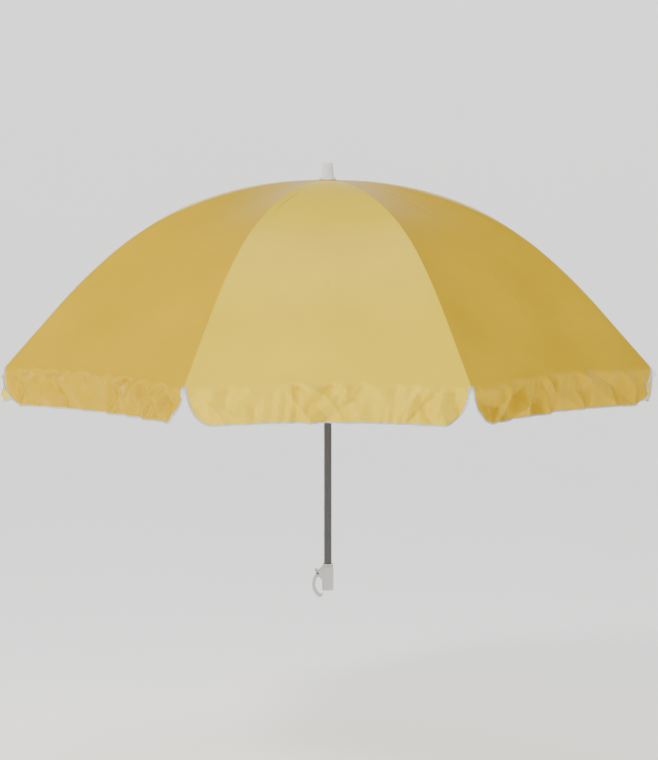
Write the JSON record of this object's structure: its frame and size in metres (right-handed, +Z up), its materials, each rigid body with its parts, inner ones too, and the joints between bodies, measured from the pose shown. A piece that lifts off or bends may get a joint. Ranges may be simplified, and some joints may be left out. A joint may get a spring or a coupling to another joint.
{
  "type": "beach umbrella",
  "caption": "Octagonal beach umbrella canopy with hanging valances on folding steel ribs, a sliding runner, an upper pole and a clip-on pole socket.",
  "frame": {"origin": "centre of the socket's mouth, at the lower end of the collar", "axes": "+Z up along the pole, -Y towards the middle of gore 1, -X towards the hook lever"},
  "size_m": [1.3094, 1.3094, 0.9146],
  "materials": {
    "light_fabric": "satin polyester taffeta, light yellow",
    "gold_fabric": "satin polyester taffeta, golden yellow",
    "white_plastic": "moulded plastic, off-white",
    "clear_plastic": "translucent moulded plastic",
    "pole_metal": "satin grey metal tube",
    "rib_steel": "light grey coated steel wire",
    "wire": "bright steel wire",
    "rivet_steel": "plated steel",
    "dark_pin": "dark steel pin"
  },
  "bodies": {
    "root": {"pole_tube": "pole_metal", "finial": "clear_plastic", "top_washer": "gold_fabric", "crown_hub": "white_plastic", "crown_ring": "wire", "rivets": "rivet_steel", "collar": "white_plastic", "lever_pin": "dark_pin"},
    "runner": {"runner": "white_plastic", "runner_ring": "wire"},
    "lever": {"hook_lever": "white_plastic"},
    "catch": {"runner_catch": "wire"},
    "rib_1": {"rib_1": "rib_steel"},
    "rib_2": {"rib_2": "rib_steel"},
    "rib_3": {"rib_3": "rib_steel"},
    "rib_4": {"rib_4": "rib_steel"},
    "rib_5": {"rib_5": "rib_steel"},
    "rib_6": {"rib_6": "rib_steel"},
    "rib_7": {"rib_7": "rib_steel"},
    "rib_8": {"rib_8": "rib_steel"},
    "rib_tip_1": {"rib_tip_1": "rib_steel"},
    "rib_tip_2": {"rib_tip_2": "rib_steel"},
    "rib_tip_3": {"rib_tip_3": "rib_steel"},
    "rib_tip_4": {"rib_tip_4": "rib_steel"},
    "rib_tip_5": {"rib_tip_5": "rib_steel"},
    "rib_tip_6": {"rib_tip_6": "rib_steel"},
    "rib_tip_7": {"rib_tip_7": "rib_steel"},
    "rib_tip_8": {"rib_tip_8": "rib_steel"},
    "stretcher_1": {"stretcher_1": "rib_steel"},
    "stretcher_2": {"stretcher_2": "rib_steel"},
    "stretcher_3": {"stretcher_3": "rib_steel"},
    "stretcher_4": {"stretcher_4": "rib_steel"},
    "stretcher_5": {"stretcher_5": "rib_steel"},
    "stretcher_6": {"stretcher_6": "rib_steel"},
    "stretcher_7": {"stretcher_7": "rib_steel"},
    "stretcher_8": {"stretcher_8": "rib_steel"},
    "gore_upper_1": {"gore_upper_1": "light_fabric"},
    "gore_upper_2": {"gore_upper_2": "gold_fabric"},
    "gore_upper_3": {"gore_upper_3": "light_fabric"},
    "gore_upper_4": {"gore_upper_4": "gold_fabric"},
    "gore_upper_5": {"gore_upper_5": "light_fabric"},
    "gore_upper_6": {"gore_upper_6": "gold_fabric"},
    "gore_upper_7": {"gore_upper_7": "light_fabric"},
    "gore_upper_8": {"gore_upper_8": "gold_fabric"},
    "gore_lower_1": {"gore_lower_1": "light_fabric"},
    "gore_lower_2": {"gore_lower_2": "gold_fabric"},
    "gore_lower_3": {"gore_lower_3": "light_fabric"},
    "gore_lower_4": {"gore_lower_4": "gold_fabric"},
    "gore_lower_5": {"gore_lower_5": "light_fabric"},
    "gore_lower_6": {"gore_lower_6": "gold_fabric"},
    "gore_lower_7": {"gore_lower_7": "light_fabric"},
    "gore_lower_8": {"gore_lower_8": "gold_fabric"},
    "valance_1": {"valance_1": "light_fabric"},
    "valance_2": {"valance_2": "gold_fabric"},
    "valance_3": {"valance_3": "light_fabric"},
    "valance_4": {"valance_4": "gold_fabric"},
    "valance_5": {"valance_5": "light_fabric"},
    "valance_6": {"valance_6": "gold_fabric"},
    "valance_7": {"valance_7": "light_fabric"},
    "valance_8": {"valance_8": "gold_fabric"}
  },
  "joints": [
    {"name": "runner_slide", "type": "slide", "parent": "root", "child": "runner", "axis": [0, 0, -1], "range_m": [0, 0.46978]},
    {"name": "rib_1_hinge", "type": "hinge", "parent": "root", "child": "rib_1", "pos_m": [-0.00612, -0.01478, 0.853], "axis": [0.9239, -0.3827, 0], "range_deg": [0, 73.02]},
    {"name": "rib_1_flex", "type": "hinge", "parent": "rib_1", "child": "rib_tip_1", "pos_m": [-0.13839, -0.33409, 0.78198], "axis": [-0.9239, 0.3827, 0], "range_deg": [0, 22.02]},
    {"name": "stretcher_1_hinge", "type": "hinge", "parent": "rib_1", "child": "stretcher_1", "pos_m": [-0.13227, -0.31933, 0.78064], "axis": [-0.9239, 0.3827, 0], "range_deg": [0, 134.09]},
    {"name": "rib_2_hinge", "type": "hinge", "parent": "root", "child": "rib_2", "pos_m": [0.00612, -0.01478, 0.853], "axis": [0.9239, 0.3827, 0], "range_deg": [0, 73.02]},
    {"name": "rib_2_flex", "type": "hinge", "parent": "rib_2", "child": "rib_tip_2", "pos_m": [0.13839, -0.33409, 0.78198], "axis": [-0.9239, -0.3827, 0], "range_deg": [0, 22.02]},
    {"name": "stretcher_2_hinge", "type": "hinge", "parent": "rib_2", "child": "stretcher_2", "pos_m": [0.13227, -0.31933, 0.78064], "axis": [-0.9239, -0.3827, 0], "range_deg": [0, 134.09]},
    {"name": "rib_3_hinge", "type": "hinge", "parent": "root", "child": "rib_3", "pos_m": [0.01478, -0.00612, 0.853], "axis": [0.3827, 0.9239, 0], "range_deg": [0, 73.02]},
    {"name": "rib_3_flex", "type": "hinge", "parent": "rib_3", "child": "rib_tip_3", "pos_m": [0.33409, -0.13839, 0.78198], "axis": [-0.3827, -0.9239, 0], "range_deg": [0, 22.02]},
    {"name": "stretcher_3_hinge", "type": "hinge", "parent": "rib_3", "child": "stretcher_3", "pos_m": [0.31933, -0.13227, 0.78064], "axis": [-0.3827, -0.9239, 0], "range_deg": [0, 134.09]},
    {"name": "rib_4_hinge", "type": "hinge", "parent": "root", "child": "rib_4", "pos_m": [0.01478, 0.00612, 0.853], "axis": [-0.3827, 0.9239, 0], "range_deg": [0, 73.02]},
    {"name": "rib_4_flex", "type": "hinge", "parent": "rib_4", "child": "rib_tip_4", "pos_m": [0.33409, 0.13839, 0.78198], "axis": [0.3827, -0.9239, 0], "range_deg": [0, 22.02]},
    {"name": "stretcher_4_hinge", "type": "hinge", "parent": "rib_4", "child": "stretcher_4", "pos_m": [0.31933, 0.13227, 0.78064], "axis": [0.3827, -0.9239, 0], "range_deg": [0, 134.09]},
    {"name": "rib_5_hinge", "type": "hinge", "parent": "root", "child": "rib_5", "pos_m": [0.00612, 0.01478, 0.853], "axis": [-0.9239, 0.3827, 0], "range_deg": [0, 73.02]},
    {"name": "rib_5_flex", "type": "hinge", "parent": "rib_5", "child": "rib_tip_5", "pos_m": [0.13839, 0.33409, 0.78198], "axis": [0.9239, -0.3827, 0], "range_deg": [0, 22.02]},
    {"name": "stretcher_5_hinge", "type": "hinge", "parent": "rib_5", "child": "stretcher_5", "pos_m": [0.13227, 0.31933, 0.78064], "axis": [0.9239, -0.3827, 0], "range_deg": [0, 134.09]},
    {"name": "rib_6_hinge", "type": "hinge", "parent": "root", "child": "rib_6", "pos_m": [-0.00612, 0.01478, 0.853], "axis": [-0.9239, -0.3827, 0], "range_deg": [0, 73.02]},
    {"name": "rib_6_flex", "type": "hinge", "parent": "rib_6", "child": "rib_tip_6", "pos_m": [-0.13839, 0.33409, 0.78198], "axis": [0.9239, 0.3827, 0], "range_deg": [0, 22.02]},
    {"name": "stretcher_6_hinge", "type": "hinge", "parent": "rib_6", "child": "stretcher_6", "pos_m": [-0.13227, 0.31933, 0.78064], "axis": [0.9239, 0.3827, 0], "range_deg": [0, 134.09]},
    {"name": "rib_7_hinge", "type": "hinge", "parent": "root", "child": "rib_7", "pos_m": [-0.01478, 0.00612, 0.853], "axis": [-0.3827, -0.9239, 0], "range_deg": [0, 73.02]},
    {"name": "rib_7_flex", "type": "hinge", "parent": "rib_7", "child": "rib_tip_7", "pos_m": [-0.33409, 0.13839, 0.78198], "axis": [0.3827, 0.9239, 0], "range_deg": [0, 22.02]},
    {"name": "stretcher_7_hinge", "type": "hinge", "parent": "rib_7", "child": "stretcher_7", "pos_m": [-0.31933, 0.13227, 0.78064], "axis": [0.3827, 0.9239, 0], "range_deg": [0, 134.09]},
    {"name": "rib_8_hinge", "type": "hinge", "parent": "root", "child": "rib_8", "pos_m": [-0.01478, -0.00612, 0.853], "axis": [0.3827, -0.9239, 0], "range_deg": [0, 73.02]},
    {"name": "rib_8_flex", "type": "hinge", "parent": "rib_8", "child": "rib_tip_8", "pos_m": [-0.33409, -0.13839, 0.78198], "axis": [-0.3827, 0.9239, 0], "range_deg": [0, 22.02]},
    {"name": "stretcher_8_hinge", "type": "hinge", "parent": "rib_8", "child": "stretcher_8", "pos_m": [-0.31933, -0.13227, 0.78064], "axis": [-0.3827, 0.9239, 0], "range_deg": [0, 134.09]},
    {"name": "gore_1_fold", "type": "hinge", "parent": "root", "child": "gore_upper_1", "pos_m": [0, -0.01478, 0.853], "axis": [1, 0, 0], "range_deg": [0, 72.02], "deforming": ["gore_upper_1"]},
    {"name": "gore_1_bend", "type": "hinge", "parent": "gore_upper_1", "child": "gore_lower_1", "pos_m": [0, -0.33385, 0.78805], "axis": [-1, 0, 0], "range_deg": [0, 24.02], "deforming": ["gore_lower_1"]},
    {"name": "valance_1_hang", "type": "hinge", "parent": "gore_lower_1", "child": "valance_1", "pos_m": [0, -0.64279, 0.49874], "axis": [-1, 0, 0], "range_deg": [0, 48.02], "deforming": ["valance_1"]},
    {"name": "gore_2_fold", "type": "hinge", "parent": "root", "child": "gore_upper_2", "pos_m": [0.01045, -0.01045, 0.853], "axis": [0.7071, 0.7071, 0], "range_deg": [0, 72.02], "deforming": ["gore_upper_2"]},
    {"name": "gore_2_bend", "type": "hinge", "parent": "gore_upper_2", "child": "gore_lower_2", "pos_m": [0.23607, -0.23607, 0.78805], "axis": [-0.7071, -0.7071, 0], "range_deg": [0, 24.02], "deforming": ["gore_lower_2"]},
    {"name": "valance_2_hang", "type": "hinge", "parent": "gore_lower_2", "child": "valance_2", "pos_m": [0.45452, -0.45452, 0.49874], "axis": [-0.7071, -0.7071, 0], "range_deg": [0, 48.02], "deforming": ["valance_2"]},
    {"name": "gore_3_fold", "type": "hinge", "parent": "root", "child": "gore_upper_3", "pos_m": [0.01478, 0, 0.853], "axis": [0, 1, 0], "range_deg": [0, 72.02], "deforming": ["gore_upper_3"]},
    {"name": "gore_3_bend", "type": "hinge", "parent": "gore_upper_3", "child": "gore_lower_3", "pos_m": [0.33385, 0, 0.78805], "axis": [0, -1, 0], "range_deg": [0, 24.02], "deforming": ["gore_lower_3"]},
    {"name": "valance_3_hang", "type": "hinge", "parent": "gore_lower_3", "child": "valance_3", "pos_m": [0.64279, 0, 0.49874], "axis": [0, -1, 0], "range_deg": [0, 48.02], "deforming": ["valance_3"]},
    {"name": "gore_4_fold", "type": "hinge", "parent": "root", "child": "gore_upper_4", "pos_m": [0.01045, 0.01045, 0.853], "axis": [-0.7071, 0.7071, 0], "range_deg": [0, 72.02], "deforming": ["gore_upper_4"]},
    {"name": "gore_4_bend", "type": "hinge", "parent": "gore_upper_4", "child": "gore_lower_4", "pos_m": [0.23607, 0.23607, 0.78805], "axis": [0.7071, -0.7071, 0], "range_deg": [0, 24.02], "deforming": ["gore_lower_4"]},
    {"name": "valance_4_hang", "type": "hinge", "parent": "gore_lower_4", "child": "valance_4", "pos_m": [0.45452, 0.45452, 0.49874], "axis": [0.7071, -0.7071, 0], "range_deg": [0, 48.02], "deforming": ["valance_4"]},
    {"name": "gore_5_fold", "type": "hinge", "parent": "root", "child": "gore_upper_5", "pos_m": [0, 0.01478, 0.853], "axis": [-1, 0, 0], "range_deg": [0, 72.02], "deforming": ["gore_upper_5"]},
    {"name": "gore_5_bend", "type": "hinge", "parent": "gore_upper_5", "child": "gore_lower_5", "pos_m": [0, 0.33385, 0.78805], "axis": [1, 0, 0], "range_deg": [0, 24.02], "deforming": ["gore_lower_5"]},
    {"name": "valance_5_hang", "type": "hinge", "parent": "gore_lower_5", "child": "valance_5", "pos_m": [0, 0.64279, 0.49874], "axis": [1, 0, 0], "range_deg": [0, 48.02], "deforming": ["valance_5"]},
    {"name": "gore_6_fold", "type": "hinge", "parent": "root", "child": "gore_upper_6", "pos_m": [-0.01045, 0.01045, 0.853], "axis": [-0.7071, -0.7071, 0], "range_deg": [0, 72.02], "deforming": ["gore_upper_6"]},
    {"name": "gore_6_bend", "type": "hinge", "parent": "gore_upper_6", "child": "gore_lower_6", "pos_m": [-0.23607, 0.23607, 0.78805], "axis": [0.7071, 0.7071, 0], "range_deg": [0, 24.02], "deforming": ["gore_lower_6"]},
    {"name": "valance_6_hang", "type": "hinge", "parent": "gore_lower_6", "child": "valance_6", "pos_m": [-0.45452, 0.45452, 0.49874], "axis": [0.7071, 0.7071, 0], "range_deg": [0, 48.02], "deforming": ["valance_6"]},
    {"name": "gore_7_fold", "type": "hinge", "parent": "root", "child": "gore_upper_7", "pos_m": [-0.01478, 0, 0.853], "axis": [0, -1, 0], "range_deg": [0, 72.02], "deforming": ["gore_upper_7"]},
    {"name": "gore_7_bend", "type": "hinge", "parent": "gore_upper_7", "child": "gore_lower_7", "pos_m": [-0.33385, 0, 0.78805], "axis": [0, 1, 0], "range_deg": [0, 24.02], "deforming": ["gore_lower_7"]},
    {"name": "valance_7_hang", "type": "hinge", "parent": "gore_lower_7", "child": "valance_7", "pos_m": [-0.64279, 0, 0.49874], "axis": [0, 1, 0], "range_deg": [0, 48.02], "deforming": ["valance_7"]},
    {"name": "gore_8_fold", "type": "hinge", "parent": "root", "child": "gore_upper_8", "pos_m": [-0.01045, -0.01045, 0.853], "axis": [0.7071, -0.7071, 0], "range_deg": [0, 72.02], "deforming": ["gore_upper_8"]},
    {"name": "gore_8_bend", "type": "hinge", "parent": "gore_upper_8", "child": "gore_lower_8", "pos_m": [-0.23607, -0.23607, 0.78805], "axis": [-0.7071, 0.7071, 0], "range_deg": [0, 24.02], "deforming": ["gore_lower_8"]},
    {"name": "valance_8_hang", "type": "hinge", "parent": "gore_lower_8", "child": "valance_8", "pos_m": [-0.45452, -0.45452, 0.49874], "axis": [-0.7071, 0.7071, 0], "range_deg": [0, 48.02], "deforming": ["valance_8"]},
    {"name": "lever_swing", "type": "hinge", "parent": "root", "child": "lever", "pos_m": [-0.021, 0, 0.036], "axis": [0, 1, 0], "range_deg": [-8, 12]},
    {"name": "catch_press", "type": "slide", "parent": "root", "child": "catch", "axis": [-1, 0, 0], "range_m": [0, 0.0045], "stiffness_N_per_m": 600, "springref_m": -0.002}
  ],
  "couplings": [
    {"joint": "rib_1_hinge", "follows": "runner_slide", "rad_per_m": 2.7121},
    {"joint": "rib_1_flex", "follows": "runner_slide", "rad_per_m": 0.81734},
    {"joint": "stretcher_1_hinge", "follows": "runner_slide", "rad_per_m": 4.981},
    {"joint": "rib_2_hinge", "follows": "runner_slide", "rad_per_m": 2.7121},
    {"joint": "rib_2_flex", "follows": "runner_slide", "rad_per_m": 0.81734},
    {"joint": "stretcher_2_hinge", "follows": "runner_slide", "rad_per_m": 4.981},
    {"joint": "rib_3_hinge", "follows": "runner_slide", "rad_per_m": 2.7121},
    {"joint": "rib_3_flex", "follows": "runner_slide", "rad_per_m": 0.81734},
    {"joint": "stretcher_3_hinge", "follows": "runner_slide", "rad_per_m": 4.981},
    {"joint": "rib_4_hinge", "follows": "runner_slide", "rad_per_m": 2.7121},
    {"joint": "rib_4_flex", "follows": "runner_slide", "rad_per_m": 0.81734},
    {"joint": "stretcher_4_hinge", "follows": "runner_slide", "rad_per_m": 4.981},
    {"joint": "rib_5_hinge", "follows": "runner_slide", "rad_per_m": 2.7121},
    {"joint": "rib_5_flex", "follows": "runner_slide", "rad_per_m": 0.81734},
    {"joint": "stretcher_5_hinge", "follows": "runner_slide", "rad_per_m": 4.981},
    {"joint": "rib_6_hinge", "follows": "runner_slide", "rad_per_m": 2.7121},
    {"joint": "rib_6_flex", "follows": "runner_slide", "rad_per_m": 0.81734},
    {"joint": "stretcher_6_hinge", "follows": "runner_slide", "rad_per_m": 4.981},
    {"joint": "rib_7_hinge", "follows": "runner_slide", "rad_per_m": 2.7121},
    {"joint": "rib_7_flex", "follows": "runner_slide", "rad_per_m": 0.81734},
    {"joint": "stretcher_7_hinge", "follows": "runner_slide", "rad_per_m": 4.981},
    {"joint": "rib_8_hinge", "follows": "runner_slide", "rad_per_m": 2.7121},
    {"joint": "rib_8_flex", "follows": "runner_slide", "rad_per_m": 0.81734},
    {"joint": "stretcher_8_hinge", "follows": "runner_slide", "rad_per_m": 4.981},
    {"joint": "gore_1_fold", "follows": "runner_slide", "rad_per_m": 2.6749},
    {"joint": "gore_1_bend", "follows": "runner_slide", "rad_per_m": 0.89165},
    {"joint": "valance_1_hang", "follows": "runner_slide", "rad_per_m": 1.7833},
    {"joint": "gore_2_fold", "follows": "runner_slide", "rad_per_m": 2.6749},
    {"joint": "gore_2_bend", "follows": "runner_slide", "rad_per_m": 0.89165},
    {"joint": "valance_2_hang", "follows": "runner_slide", "rad_per_m": 1.7833},
    {"joint": "gore_3_fold", "follows": "runner_slide", "rad_per_m": 2.6749},
    {"joint": "gore_3_bend", "follows": "runner_slide", "rad_per_m": 0.89165},
    {"joint": "valance_3_hang", "follows": "runner_slide", "rad_per_m": 1.7833},
    {"joint": "gore_4_fold", "follows": "runner_slide", "rad_per_m": 2.6749},
    {"joint": "gore_4_bend", "follows": "runner_slide", "rad_per_m": 0.89165},
    {"joint": "valance_4_hang", "follows": "runner_slide", "rad_per_m": 1.7833},
    {"joint": "gore_5_fold", "follows": "runner_slide", "rad_per_m": 2.6749},
    {"joint": "gore_5_bend", "follows": "runner_slide", "rad_per_m": 0.89165},
    {"joint": "valance_5_hang", "follows": "runner_slide", "rad_per_m": 1.7833},
    {"joint": "gore_6_fold", "follows": "runner_slide", "rad_per_m": 2.6749},
    {"joint": "gore_6_bend", "follows": "runner_slide", "rad_per_m": 0.89165},
    {"joint": "valance_6_hang", "follows": "runner_slide", "rad_per_m": 1.7833},
    {"joint": "gore_7_fold", "follows": "runner_slide", "rad_per_m": 2.6749},
    {"joint": "gore_7_bend", "follows": "runner_slide", "rad_per_m": 0.89165},
    {"joint": "valance_7_hang", "follows": "runner_slide", "rad_per_m": 1.7833},
    {"joint": "gore_8_fold", "follows": "runner_slide", "rad_per_m": 2.6749},
    {"joint": "gore_8_bend", "follows": "runner_slide", "rad_per_m": 0.89165},
    {"joint": "valance_8_hang", "follows": "runner_slide", "rad_per_m": 1.7833}
  ]
}
